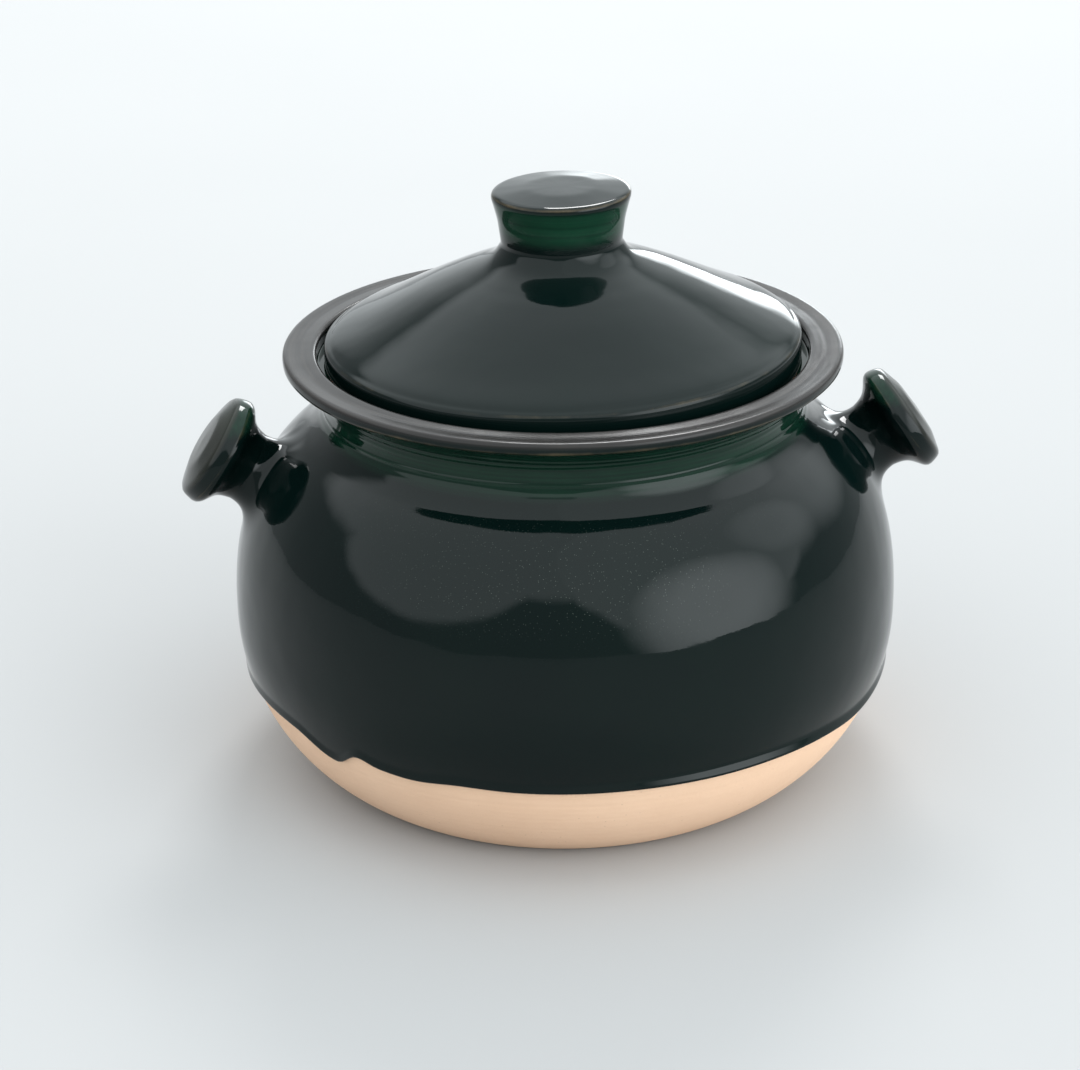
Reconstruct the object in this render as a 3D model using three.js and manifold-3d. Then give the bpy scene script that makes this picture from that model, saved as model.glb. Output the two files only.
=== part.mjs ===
// Clay cooking pot: a wheel-thrown pot with two solid lug handles, a loose domed lid that drops
// into a recess in the rim, and a thick dark green glaze that stops short of the bare foot.
// Units are millimetres, +Z is up, and the origin is the centre of the flat base.
// Every turned outline is a list of [radius, height] points that runs with the clay on its left
// and the air on its right, so one function can lay a glaze coat over any stretch of it.

import * as THREE from 'three';
import { mergeVertices } from 'three/addons/utils/BufferGeometryUtils.js';
import Module from 'manifold-3d';

const wasm = await Module();
wasm.setup();

// Facets round the turned pieces
const potSegments = 36;
const lugSegments = 16;

// Glaze coats
const glazeThickness = 0.8;
const glazeBond = 0.15;
const glazeLineHeight = 36.6;
const glazeStop = 0.6;

// Pot, measured on the clay
const baseRadius = 84.3;
const baseChamfer = 0.8;
const bellyRadius = 114.4;
const bellyHeight = 57;
const lowerCurveCentre = 60;
const shoulderRise = 62.7;
const shoulderTuck = 24;
const upperCurvePower = 2.3;
const neckRadius = 81.2;
const neckStep = 6.8;
const neckLength = 28.5;
const wallThickness = 6.2;
const floorThickness = 8;
const floorFillet = 4.5;

// Rim flange and the recess that seats the lid
const rimOverhang = 13;
const rimWidth = 10.3;
const lipThickness = 2.6;
const lipRound = 0.7;
const rimDish = 0.4;
const recessDepth = 5;

// Lid, heights measured from its seat
const lidEdgeGap = 3.9;
const seatGap = 0.2;
const lidSeatWidth = 4.4;
const lidEdgeRound = 1.5;
const lidEdgeHeight = 8.9;
const lidRise = 31.9;
const lidWall = 5.5;

// Knob on the lid
const knobFootRadius = 19.6;
const knobTopRadius = 23;
const knobHeight = 17.3;
const knobCrown = 1.1;
const knobEdge = 0.6;
const knobWaist = 0.6;

// Lug handles, measured back from the rim of the lug's face
const lugTilt = 35;
const lugRise = 47.9;
const lugLength = 21.3;
const lugFaceRadius = 17.8;
const lugDiscRadius = 18.9;
const lugDiscDepth = 4.2;
const lugDome = 2.6;
const lugWaistRadius = 11.7;
const lugWaistDepth = 14.6;
const lugFootRadius = 22.4;
const lugFootSink = 5.7;
const lugGap = 0.3;

// Outlines as shares of the sizes they follow
const neckShares = [[0.26, 0.139], [0.015, 0.359], [0.03, 0.65], [0.33, 0.876], [0.93, 0.987]];
const domeShares = [[0, 0], [0.04, 0.066], [0.21, 0.215], [0.51, 0.49], [0.8, 0.72], [0.955, 0.875], [1, 1]];
const flareShares = [0.42, 0.56];
const discBackShares = [0.25, 0.5];
const discRimShares = [0.93, 0.12];
const faceShares = [0.55, 0.84];

// Sizes that follow from the ones above
const shoulderHeight = bellyHeight + shoulderRise;
const shoulderRadius = neckRadius + neckStep;
const upperCurveCentre = shoulderRadius - shoulderTuck;
const boreRadius = neckRadius - wallThickness;
const rimHeight = shoulderHeight + neckLength;
const rimRadius = neckRadius + rimOverhang;
const lipBottom = rimHeight - lipThickness;
const recessRadius = rimRadius - rimWidth;
const ledgeHeight = rimHeight - recessDepth;
const lidRadius = recessRadius - lidEdgeGap;
const lidTopHeight = lidEdgeHeight + lidRise;
const lugHeight = bellyHeight + lugRise;
const lugFootDepth = lugLength + lugFootSink;

// Curves that pass through [radius, height] points
function smooth(points, steps) {
  const curve = new THREE.SplineCurve(points.map((point) => new THREE.Vector2(...point)));
  return curve.getPoints(steps).map((point) => [point.x, point.y]);
}

function bend(start, corner, end, steps) {
  const ends = [start, corner, end].map((point) => new THREE.Vector2(...point));
  const curve = new THREE.QuadraticBezierCurve(...ends);
  return curve.getPoints(steps).map((point) => [point.x, point.y]);
}

function sharedPoints(shares, [startRadius, startHeight], [endRadius, endHeight]) {
  return shares.map(([across, up]) => [
    startRadius + across * (endRadius - startRadius),
    startHeight + up * (endHeight - startHeight),
  ]);
}

function unitNormal([fromRadius, fromHeight], [toRadius, toHeight]) {
  return new THREE.Vector2(toHeight - fromHeight, fromRadius - toRadius).normalize();
}

// Moves an outline into the air by a distance, with its corners kept sharp
function offsetPath(path, distance) {
  return path.map((point, i) => {
    const before = unitNormal(path[Math.max(i - 1, 0)], path[Math.max(i, 1)]);
    const after = unitNormal(path[Math.min(i, path.length - 2)], path[Math.min(i + 1, path.length - 1)]);
    const normal = before.clone().add(after).normalize();
    const reach = distance / normal.dot(before);
    return [point[0] + reach * normal.x, point[1] + reach * normal.y];
  });
}

function turned(outline, segments) {
  const points = outline.map(([radius, height]) => new THREE.Vector2(radius, height));
  return new THREE.LatheGeometry(points, segments).rotateX(Math.PI / 2);
}

function coat(path, segments) {
  const skin = offsetPath(path, glazeThickness);
  const back = offsetPath(path, glazeBond).reverse();
  return turned([...skin, ...back, skin[0]], segments);
}

// Solids for the joins and cuts
function toSolid(geometry) {
  const bare = geometry.clone();
  bare.deleteAttribute('normal');
  bare.deleteAttribute('uv');
  const merged = mergeVertices(bare);
  const corners = Array.from(merged.index.array);
  const kept = [];
  for (let i = 0; i < corners.length; i += 3) {
    const [a, b, c] = corners.slice(i, i + 3);
    if (a !== b && b !== c && c !== a) kept.push(a, b, c);
  }
  const mesh = new wasm.Mesh({
    numProp: 3,
    vertProperties: merged.attributes.position.array,
    triVerts: new Uint32Array(kept),
  });
  return new wasm.Manifold(mesh);
}

function toGeometry(solid) {
  const mesh = solid.getMesh();
  const geometry = new THREE.BufferGeometry();
  geometry.setAttribute('position', new THREE.BufferAttribute(mesh.vertProperties, mesh.numProp));
  geometry.setIndex(new THREE.BufferAttribute(mesh.triVerts, 1));
  geometry.computeVertexNormals();
  return geometry;
}

// The side of the pot below its widest place is part of an ellipse
function lowerBelly(fromHeight, toHeight, steps) {
  const across = bellyRadius - lowerCurveCentre;
  const baseAngle = Math.acos((baseRadius - lowerCurveCentre) / across);
  const down = bellyHeight / Math.sin(baseAngle);
  const start = Math.asin((bellyHeight - fromHeight) / down);
  const end = Math.asin((bellyHeight - toHeight) / down);
  return Array.from({ length: steps + 1 }, (_, i) => {
    const angle = start + (end - start) * i / steps;
    return [lowerCurveCentre + across * Math.cos(angle), bellyHeight - down * Math.sin(angle)];
  });
}

// The side above its widest place is fuller than an ellipse and ends at the shoulder
function upperBelly(steps) {
  const across = bellyRadius - upperCurveCentre;
  const endAngle = Math.acos((shoulderTuck / across) ** (upperCurvePower / 2));
  const up = shoulderRise / Math.sin(endAngle) ** (2 / upperCurvePower);
  return Array.from({ length: steps }, (_, i) => {
    const angle = endAngle * (i + 1) / steps;
    return [
      upperCurveCentre + across * Math.cos(angle) ** (2 / upperCurvePower),
      bellyHeight + up * Math.sin(angle) ** (2 / upperCurvePower),
    ];
  });
}

// The neck curves in from the shoulder and out again under the rim
function neck(steps) {
  const hollow = sharedPoints(neckShares, [neckRadius, shoulderHeight], [rimRadius, lipBottom]);
  return smooth([[shoulderRadius, shoulderHeight], ...hollow], steps).slice(1);
}

function rimAndRecess() {
  const middle = (rimRadius + recessRadius) / 2;
  return [
    [rimRadius, lipBottom + lipRound],
    [rimRadius, rimHeight - lipRound],
    [rimRadius - lipRound, rimHeight],
    [middle, rimHeight - rimDish],
    [recessRadius + lipRound, rimHeight],
    [recessRadius, rimHeight - lipRound],
    [recessRadius, ledgeHeight + glazeStop],
  ];
}

function outerSide() {
  return [
    ...lowerBelly(glazeLineHeight, bellyHeight, 2),
    ...upperBelly(5),
    ...neck(6),
  ];
}

function foot() {
  const side = lowerBelly(baseChamfer, glazeLineHeight, 3);
  return [[0, 0], [side[0][0] - baseChamfer, 0], ...side.slice(0, -1)];
}

// The inside follows the outside at the thickness of the wall, down to a flat floor
function insideWall() {
  const outside = [...lowerBelly(0, bellyHeight, 4), ...upperBelly(4), ...neck(6).slice(0, 3)];
  const inside = offsetPath(outside, -wallThickness).reverse();
  const wall = inside.filter((point) => point[1] > floorThickness + floorFillet);
  const low = wall[wall.length - 1];
  const corner = [low[0] - floorFillet, floorThickness];
  const floorEdge = [corner[0] - 2 * floorFillet, floorThickness];
  return [...wall.slice(0, -1), ...bend(low, corner, floorEdge, 2), [0, floorThickness]];
}

function potBody() {
  const outline = [
    ...foot(),
    ...outerSide(),
    ...rimAndRecess(),
    [recessRadius, ledgeHeight],
    [boreRadius, ledgeHeight],
    ...insideWall(),
  ];
  return turned(outline, potSegments);
}

function insideGlaze() {
  return coat([[boreRadius, ledgeHeight - glazeStop], ...insideWall()], potSegments);
}

// A lug is turned about its own axis and then set square on the shoulder
function lugOutline() {
  const [flareAcross, flareBack] = flareShares;
  const [backAcross, backDeep] = discBackShares;
  const [rimAcross, rimDeep] = discRimShares;
  const [faceAcross, faceUp] = faceShares;
  const flare = lugFootRadius - lugWaistRadius;
  const stem = lugFootDepth - lugWaistDepth;
  const swell = lugDiscRadius - lugWaistRadius;
  const hollow = lugWaistDepth - lugDiscDepth;
  const side = smooth([
    [lugFootRadius, -lugFootDepth],
    [lugWaistRadius + flareAcross * flare, -lugWaistDepth - flareBack * stem],
    [lugWaistRadius, -lugWaistDepth],
    [lugWaistRadius + backAcross * swell, -lugDiscDepth - backDeep * hollow],
    [lugWaistRadius + rimAcross * swell, -lugDiscDepth - rimDeep * hollow],
    [lugDiscRadius, -lugDiscDepth],
  ], 8);
  return [
    [0, -lugFootDepth],
    ...side,
    [lugFaceRadius, 0],
    [lugFaceRadius * faceAcross, lugDome * faceUp],
    [0, lugDome],
  ];
}

function potRadiusAt(height) {
  const side = outerSide();
  const next = side.findIndex((point) => point[1] > height);
  const [lowRadius, lowHeight] = side[next - 1];
  const [highRadius, highHeight] = side[next];
  return lowRadius + (highRadius - lowRadius) * (height - lowHeight) / (highHeight - lowHeight);
}

function lug(distance) {
  const tilt = THREE.MathUtils.degToRad(lugTilt);
  const outline = offsetPath(lugOutline(), distance);
  outline[0][0] = 0;
  outline[outline.length - 1][0] = 0;
  const shape = turned(outline, lugSegments);
  shape.rotateY(Math.PI / 2 - tilt);
  shape.translate(
    potRadiusAt(lugHeight) + lugLength * Math.cos(tilt),
    0,
    lugHeight + lugLength * Math.sin(tilt),
  );
  return shape;
}

function filledPot(distance) {
  const side = offsetPath([...foot(), ...outerSide()], distance);
  side[0][0] = 0;
  const top = side[side.length - 1];
  return toSolid(turned([...side, [0, top[1]]], potSegments));
}

function lugHandle() {
  return toGeometry(toSolid(lug(0)).subtract(filledPot(lugGap)));
}

function outsideGlaze() {
  let skin = toSolid(coat([...outerSide(), ...rimAndRecess()], potSegments));
  const pot = filledPot(glazeBond);
  for (const turn of [0, Math.PI]) {
    skin = skin.add(toSolid(lug(glazeThickness).rotateZ(turn)).subtract(pot));
  }
  for (const turn of [0, Math.PI]) {
    skin = skin.subtract(toSolid(lug(lugGap).rotateZ(turn)));
  }
  return toGeometry(skin);
}

// Lid outlines start from its seat on the ledge of the recess
function lidDome(steps) {
  const edge = [lidRadius - lidEdgeRound, lidEdgeHeight];
  const knobFoot = [knobFootRadius, lidTopHeight];
  return smooth(sharedPoints(domeShares, edge, knobFoot), steps);
}

function lidEdge() {
  return [
    [lidRadius - lidEdgeRound, 0],
    [lidRadius, lidEdgeRound],
    [lidRadius, lidEdgeHeight - lidEdgeRound],
  ];
}

function lidUnderside() {
  const top = [...lidDome(5), [0, lidTopHeight]];
  const inside = offsetPath(top, -lidWall).reverse();
  inside[0][0] = 0;
  const seatInner = lidRadius - lidEdgeRound - lidSeatWidth;
  return [...inside.filter((point) => point[0] < seatInner - lidEdgeRound), [seatInner, glazeStop]];
}

function lidBody() {
  const underside = lidUnderside();
  const seatInner = underside[underside.length - 1][0];
  const top = [...lidEdge(), ...lidDome(7), [0, lidTopHeight]];
  return turned([...underside, [seatInner, 0], ...top], potSegments);
}

function knobSide() {
  const top = lidTopHeight + knobHeight;
  return [
    [knobFootRadius, lidTopHeight + glazeBond],
    [(knobFootRadius + knobTopRadius) / 2 - knobWaist, lidTopHeight + knobHeight / 2],
    [knobTopRadius, top - knobEdge],
    [knobTopRadius - knobEdge, top],
    [knobTopRadius / 2, top + knobCrown],
    [0, top + knobCrown],
  ];
}

function lidKnob() {
  return turned([[0, lidTopHeight + glazeBond], ...knobSide()], potSegments);
}

function lidTopGlaze() {
  const edge = lidEdge().slice(1);
  return coat([...edge, ...lidDome(7), ...knobSide().slice(1)], potSegments);
}

function lidUnderGlaze() {
  return coat(lidUnderside(), potSegments);
}

// Finishes
const glaze = new THREE.MeshStandardMaterial({ color: 0x13211c, roughness: 0.08, metalness: 0 });
const clay = new THREE.MeshStandardMaterial({ color: 0xd9bb9c, roughness: 0.85, metalness: 0 });

function piece(name, geometry, material) {
  const mesh = new THREE.Mesh(geometry, material);
  mesh.name = name;
  return mesh;
}

const pot = new THREE.Group();
pot.add(piece('pot_body', potBody(), clay));
pot.add(piece('outside_glaze', outsideGlaze(), glaze));
pot.add(piece('inside_glaze', insideGlaze(), glaze));
const rightHandle = piece('handle_right', lugHandle(), clay);
const leftHandle = piece('handle_left', rightHandle.geometry, clay);
leftHandle.rotation.z = Math.PI;
pot.add(rightHandle, leftHandle);

const lid = new THREE.Group();
lid.add(piece('lid_body', lidBody(), clay));
lid.add(piece('lid_knob', lidKnob(), clay));
lid.add(piece('lid_top_glaze', lidTopGlaze(), glaze));
lid.add(piece('lid_under_glaze', lidUnderGlaze(), glaze));
lid.position.z = ledgeHeight + seatGap;

const cookingPot = new THREE.Group();
cookingPot.add(pot, lid);

export default cookingPot;
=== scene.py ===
import math

import bpy
import numpy as np
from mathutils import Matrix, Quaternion, Vector


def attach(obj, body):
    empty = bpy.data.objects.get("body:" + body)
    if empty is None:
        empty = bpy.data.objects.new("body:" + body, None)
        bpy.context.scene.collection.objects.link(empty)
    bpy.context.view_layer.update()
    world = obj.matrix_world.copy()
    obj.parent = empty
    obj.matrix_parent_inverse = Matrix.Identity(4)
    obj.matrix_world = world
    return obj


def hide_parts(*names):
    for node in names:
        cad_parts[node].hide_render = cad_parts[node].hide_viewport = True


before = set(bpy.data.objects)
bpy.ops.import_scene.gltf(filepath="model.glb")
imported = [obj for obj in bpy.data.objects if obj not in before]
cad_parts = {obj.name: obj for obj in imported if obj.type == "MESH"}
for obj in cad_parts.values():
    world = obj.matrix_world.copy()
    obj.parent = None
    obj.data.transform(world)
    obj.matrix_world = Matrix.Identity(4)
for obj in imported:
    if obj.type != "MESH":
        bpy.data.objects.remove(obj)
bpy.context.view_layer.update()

# Every size is in millimetres and every angle in degrees, unless a comment says otherwise
MM = 0.001
TURN = 2 * math.pi

# Columns round each piece
POT_COLUMNS = 336
LID_COLUMNS = 256
LUG_COLUMNS = 64

# Steps along curves and round corners
CURVE_STEPS = 60
LOWER_CURVE_STEPS = 40
LUG_CURVE_STEPS = 12
LUG_FLARE_STEPS = 14
BEND_STEPS = 8
ARC_STEPS = 6
KNOB_ARC_STEPS = 8
SEAT_ARC_STEPS = 4
LEDGE_ARC_STEPS = 3

# Distances between points and rows, with the first rows close together over the roll of the glaze
OUTLINE_STEP = 0.5
ROW_STEP = 2.0
NECK_ROW_STEP = 0.35
EDGE_ROWS = [0, 0.1, 0.3, 0.6, 0.95, 1.3, 1.7, 2.3, 3.0, 3.5, 4.0, 4.6, 5.4, 6.5, 7.8, 9.3, 11]
LINE_SAMPLES = 400
EDGE_STEP = 0.4
LUG_STEP = 0.9
FOOT_STEP = 1.2
BASE_STEP = 6
INSIDE_STEP = 3
FLOOR_STEP = 5
UNDER_STEP = 1.5
DOME_STEP = 2

# How many times small corners are evened out
SIDE_PASSES = 12
LID_PASSES = 3
LUG_PASSES = 9

# Largest share of an edge that a rounded corner takes, and lengths too small to count
CORNER_SHARE = 0.49
SAME_POINT = 1e-4
ON_AXIS = 1e-6
NO_LENGTH = 1e-12

# Pot, measured on the clay
BASE_RADIUS = 84.3
FOOT_ROUND = 1.6
FOOT_EDGE = 12
BELLY_RADIUS = 114.4
BELLY_HEIGHT = 57
LOWER_CURVE_CENTRE = 60
SHOULDER_RISE = 62.7
SHOULDER_TUCK = 24
UPPER_CURVE_POWER = 2.3
NECK_RADIUS = 81.2
NECK_STEP = 6.8
NECK_LENGTH = 28.5
WALL = 6.2
FLOOR = 8
FLOOR_FILLET = 4.5
BORE_TOP_SHARE = 0.6
NECK_SHARES = [
    [0.415, 0.054], [0.26, 0.139], [0.108, 0.243], [0.015, 0.359],
    [0, 0.55], [0.03, 0.65], [0.33, 0.876], [0.93, 0.987],
]

# Rim flange and the recess for the lid
RIM_OVERHANG = 13
RIM_WIDTH = 10.3
LIP_THICKNESS = 2.6
LIP_ROUND = 1.1
RIM_DISH = 0.4
RIM_DISH_ROUND = 8
RECESS_DEPTH = 5
LEDGE_ROUND = 0.5
LEDGE_DROP = 3
LEDGE_GLAZE_GAP = -0.15
RECESS_FILLET = 1.2

# Lid, heights measured from its seat
LID_EDGE_GAP = 3.9
SEAT_GAP = 0.2
SEAT_WIDTH = 4.4
LID_SEAT_ROUND = 0.6
LID_EDGE_ROUND = 1.5
LID_EDGE_HEIGHT = 8.9
LID_RISE = 31.9
LID_WALL = 5.5
LID_LEAN = 1.2
CLAY_DOME_END = 0.5
DOME_SHARES = [
    [0, 0], [0.04, 0.066], [0.21, 0.215], [0.51, 0.49], [0.685, 0.635],
    [0.8, 0.72], [0.9, 0.8], [0.955, 0.875], [1, 1],
]

# Knob
KNOB_FOOT_RADIUS = 19.6
KNOB_TOP_RADIUS = 23
KNOB_HEIGHT = 17.1
KNOB_CROWN = 1.1
KNOB_EDGE = 0.7
KNOB_WAIST = 0.6
KNOB_SIDE_ROUND = 30
KNOB_FILLET = 2.2

# Lug handles, measured back from the rim of the face
LUG_TILT = 35
LUG_HEIGHT = 104.9
LUG_LENGTH = 21.3
LUG_FACE_RADIUS = 17.8
LUG_DISC_RADIUS = 18.9
LUG_DISC_DEPTH = 4.2
LUG_DOME = 2.6
LUG_WAIST_RADIUS = 11.7
LUG_WAIST_DEPTH = 14.6
LUG_WAIST_LENGTH = 5
LUG_ROOT = 22
DISC_BACK_SHARES = [0.25, 0.5]
DISC_RIM_SHARES = [0.93, 0.12]
FACE_SHARES = [0.55, 0.84]

# Where the glaze leaves the pot's side and flares up into a lug
LUG_SPREAD = 24
LUG_SPREAD_EDGE = 1.5
LUG_BLOCK = 31
LUG_BLOCK_TOP_SHARE = 0.9
LUG_SKIRT_SHARES = [0.3, 0.6, 0.82, 1.0]
FOOT_PULL_SHARE = 0.52
WAIST_PULL_SHARE = 0.42
DROP_REACH = 40.0
DROP_HALVINGS = 40

# Glaze
GLAZE = 0.72
GLAZE_STOP = 0.6
GLAZE_SUNK = 1.1
EDGE_ROLL = 1.3
BEAD_SWELL = 0.9
BEAD_FAT = 1.35
FAT_TURN = -62
FAT_REACH = 32
BEAD_CREST = 1.2
BEAD_LENGTH = 4.3
BEAD_EASE = 0.35
LINE_REACH = 34

# Wear of the glaze over edges: how strong, and how wide
RIM_WEAR = 0.58
RIM_WEAR_WIDTH = 1.1
KNOB_WEAR_WIDTH = 0.9
LID_WEAR = 0.6
LID_WEAR_WIDTH = 1.0
LUG_WEAR = 0.75
LUG_WEAR_WIDTH = 0.3

# Height of the wavy lower edge of the glaze at each angle round the pot
GLAZE_LINE = [
    [-138, 32.6], [-133.5, 37.9], [-129, 36.2], [-122, 35.4], [-114, 36.7], [-104, 36.4],
    [-94, 36.6], [-84, 37.0], [-72, 37.2], [-60, 37.3], [-48, 36.6], [-36, 35.2], [-22, 35.9],
    [-8, 37.4], [8, 38.3], [24, 37.1], [38, 35.3], [47, 34.1], [56, 36.4], [72, 38.2],
    [88, 37.6], [103, 35.9], [118, 34.8], [127, 32.9], [134, 36.1], [150, 37.9], [168, 37.2],
    [186, 36.6], [200, 38.1], [212, 37.6],
]

# Rings left by the fingers on the neck: height, how proud, half width
RINGS = [
    [141.6, 0.2, 0.35], [139.9, 0.24, 0.4], [138.4, 0.28, 0.45], [136.3, 0.42, 0.55],
    [133.6, 0.14, 0.6], [129.6, 0.36, 0.4], [126.4, 0.1, 0.7],
]
RING_WANDER = 0.35
RING_FADE = 0.25

# Slow unevenness of thrown clay: lobes round the pot, height of one wave, phase, share
RIPPLES = [
    [2, 170, 0.4, 0.34], [3, 95, 1.9, 0.26], [5, 58, 4.0, 0.2], [8, 36, 2.2, 0.12],
    [13, 23, 5.1, 0.08],
]
RIPPLE_DEPTH = 0.1
CALM_HEIGHT = 12
CALM_RADIUS = 20

# Glaze tones, most in two shades, as red, green, blue and opacity
DEEP_GREENS = ((0.0008, 0.003, 0.0034, 1), (0.0016, 0.007, 0.0056, 1))
THIN_GREENS = ((0.004, 0.034, 0.017, 1), (0.013, 0.064, 0.034, 1))
WORN_TANS = ((0.09, 0.066, 0.035, 1), (0.2, 0.15, 0.085, 1))
RIM_GREYS = ((0.02, 0.018, 0.018, 1), (0.036, 0.032, 0.03, 1))
# Lug faces: lighter than the glaze elsewhere, a painted sheen for the light they catch; their satin finish
# comes from roughness
LUG_FACE_PAINTED_SHEEN = ((0.004, 0.008, 0.007, 1), (0.026, 0.024, 0.018, 1))
SPECK_COLOUR = (0.2, 0.23, 0.2, 1)

# Heights in metres where a tone starts, is full, begins to fade and ends
NECK_GREEN_BAND = (0.124, 0.128, 0.142, 0.146)
KNOB_GREEN_BAND = (0.186, 0.191, 0.198, 0.2008)
RIM_TOP_BAND = (0.1464, 0.1482, 0.1493, 0.1495)
SPECK_BAND = (0.084, 0.102, 0.112, 0.124)

# Distances in metres, from the axis or the middle between the lugs, where a tone is off and full
KNOB_GREEN_REACH = (0.026, 0.025)
RIM_TOP_REACH = (0.0826, 0.0836)
SPECK_REACH = (0.09, 0.06)

# Strength of each tone
NECK_GREEN = 0.4
KNOB_GREEN = 0.7
THIN_AT_RINGS = (0.55, 1.0)
FLAT_TONE = 0.85
SPECK_STRENGTH = 0.28
WEAR_BREAK_UP = 0.7
WEAR_SPREAD = (0.42, 1.0)

# Values of a pattern between which a tone goes from off to full
RING_SPREAD = (0.3, 0.7)
STREAK_SPREAD = (0.3, 0.72)
GLOSS_SPREAD = (0.35, 0.7)
SPECK_SIZE = (0.16, 0.09)
SPECK_PATCH_SPREAD = (0.38, 0.62)

# Glaze patterns: repeats for each metre, detail and roughness
CLOUDS = (14.0, 4.0, 0.55)
MOTTLE = (55.0, 5.0, 0.6)
WAVES = (38.0, 2.0, 0.4)
FINE_GRAIN = (900.0, 2.0, 0.5)
SPECK_PATCHES = (16.0, 2.0, 0.5)
RING_DRIFT = (18.0, 2.0, 0.5)
TURNED_LINES = (1.0, 3.0, 0.55)

# How far the fine rings drift, and how many rings and specks there are for each metre
RING_DRIFT_SIZE = 4.0
RING_FINENESS = 700.0
SPECK_FINENESS = 1000.0

# Glaze shine, from glossy to less glossy, and the depth of its bumps in metres
GLAZE_IOR = 1.29
GLOSS = (0.035, 0.085)
SATIN = (0.11, 0.19)
WAVE_DEPTH = 0.0004
RING_DEPTH = 0.000006
GRAIN_DEPTH = 0.0000045

# Bare clay: colours, patterns as for the glaze, and the depth of its bumps in metres
BUFF_STOPS = [(0.25, (0.76, 0.505, 0.34, 1)), (0.75, (0.83, 0.575, 0.4, 1))]
SAND_GRAIN_COLOUR = (0.36, 0.23, 0.14, 1)
THROWN_LINE_COLOUR = (0.56, 0.37, 0.24, 1)
SAND_GRAIN_STRENGTH = 0.45
THROWN_LINE_STRENGTH = 0.12
CLAY_CLOUDS = (22.0, 5.0, 0.6)
SAND = (650.0, 3.0, 0.6)
SAND_GRAIN_PATCHES = (90.0, 3.0, 0.5)
SAND_GRAIN_FINENESS = 420.0
THROWN_LINES_ACROSS = 260.0
THROWN_LINES_UP = 620.0
SAND_GRAIN_SIZE = (0.14, 0.06)
SAND_GRAIN_SPREAD = (0.5, 0.62)
SAND_SPREAD = (0.2, 0.8)
CLAY_ROUGHNESS = (0.74, 0.94)
CLAY_IOR = 1.45
THROWN_LINE_DEPTH = 0.00018
SAND_DEPTH = 0.00009
CLAY_CLOUD_DEPTH = 0.0006

# Ground that the pot stands on, in metres
GROUND_RADIUS = 12
GROUND_CORNERS = 96
GROUND_DROP = 0.0002
GROUND_GREYS = ((0.375, 0.375, 0.375, 1), (0.39, 0.39, 0.39, 1))
GROUND_CLOUDS = (3.0, 2.0, 0.5)
GROUND_ROUGHNESS = 0.9

# Camera, fitted to the photograph, in metres
CAMERA_PLACE = (-0.0886, -0.8430, 0.4515)
CAMERA_AIM = (-0.0086, 0.0, 0.0773)
CAMERA_ROLL = -0.786
CAMERA_LENS = 88.3
CAMERA_SENSOR = 36

# Soft sky: each glow's direction, the cosines where it starts and is full, and its strength
SKY_LOW = 0.36
SKY_GLOWS = [
    ((0, 0, 1), (0.46, 0.6), 1.65),
    ((-0.635, -0.338, 0.695), (0.8, 0.86), 1.65),
    ((0.569, -0.478, 0.669), (0.71, 0.77), 1.8),
    ((0.703, -0.656, 0.276), (0.8, 0.99), 5.0),
    ((0.808, 0.028, 0.588), (0.9, 0.995), 2.7),
    ((0.7, 0.37, 0.62), (0.85, 0.98), 1.75),
    ((0.12, 0.97, 0.22), (0.8, 0.985), 1.0),
    ((0.29, 0.95, 0.05), (0.97, 0.998), 6.5),
]
SKY_COLOUR = (0.92, 0.975, 1.0, 1)

# Soft lamps, in metres: name, place, size, glow and colour
LAMP_AIM = (0, 0, 0.1)
LAMPS = [
    ("key_behind", (0.35, 1.75, 1.85), (0.7, 0.7), 19.0, (1.0, 1.0, 1.0)),
]

# Sizes that follow from the ones above
SHOULDER_HEIGHT = BELLY_HEIGHT + SHOULDER_RISE
SHOULDER_RADIUS = NECK_RADIUS + NECK_STEP
BORE_RADIUS = NECK_RADIUS - WALL
RIM_HEIGHT = SHOULDER_HEIGHT + NECK_LENGTH
RIM_RADIUS = NECK_RADIUS + RIM_OVERHANG
LIP_BOTTOM = RIM_HEIGHT - LIP_THICKNESS
RECESS_RADIUS = RIM_RADIUS - RIM_WIDTH
LEDGE_HEIGHT = RIM_HEIGHT - RECESS_DEPTH
LID_SEAT = LEDGE_HEIGHT + SEAT_GAP
LID_RADIUS = RECESS_RADIUS - LID_EDGE_GAP
LID_TOP = LID_EDGE_HEIGHT + LID_RISE

# Column of the grid and turn in radians at the middle of each lug
LUG_MIDDLES = [(0, 0.0), (POT_COLUMNS // 2, math.pi)]


# Outlines are arrays of radius and height that run with the clay on the left
def spline(points, steps):
    """A smooth curve through the points"""
    points = np.array(points, float)
    last = len(points) - 1
    curve = []
    for step in range(steps + 1):
        spot = last * step / steps
        i = min(int(spot), last - 1)
        w = spot - i
        a, b, c, d = (points[min(max(k, 0), last)] for k in (i - 1, i, i + 1, i + 2))
        lean_b, lean_c = (c - a) / 2, (d - b) / 2
        cubic = (2 * b - 2 * c + lean_b + lean_c) * w ** 3
        square = (-3 * b + 3 * c - 2 * lean_b - lean_c) * w ** 2
        curve.append(cubic + square + lean_b * w + b)
    return np.array(curve)


def shared_points(shares, start, end):
    start, end = np.array(start, float), np.array(end, float)
    return start + np.array(shares) * (end - start)


def bend(start, corner, end, steps):
    """A short curve from start to end that is pulled towards the corner"""
    return [
        (1 - w) ** 2 * start + 2 * w * (1 - w) * corner + w ** 2 * end
        for w in np.linspace(0, 1, steps + 1)
    ]


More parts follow.
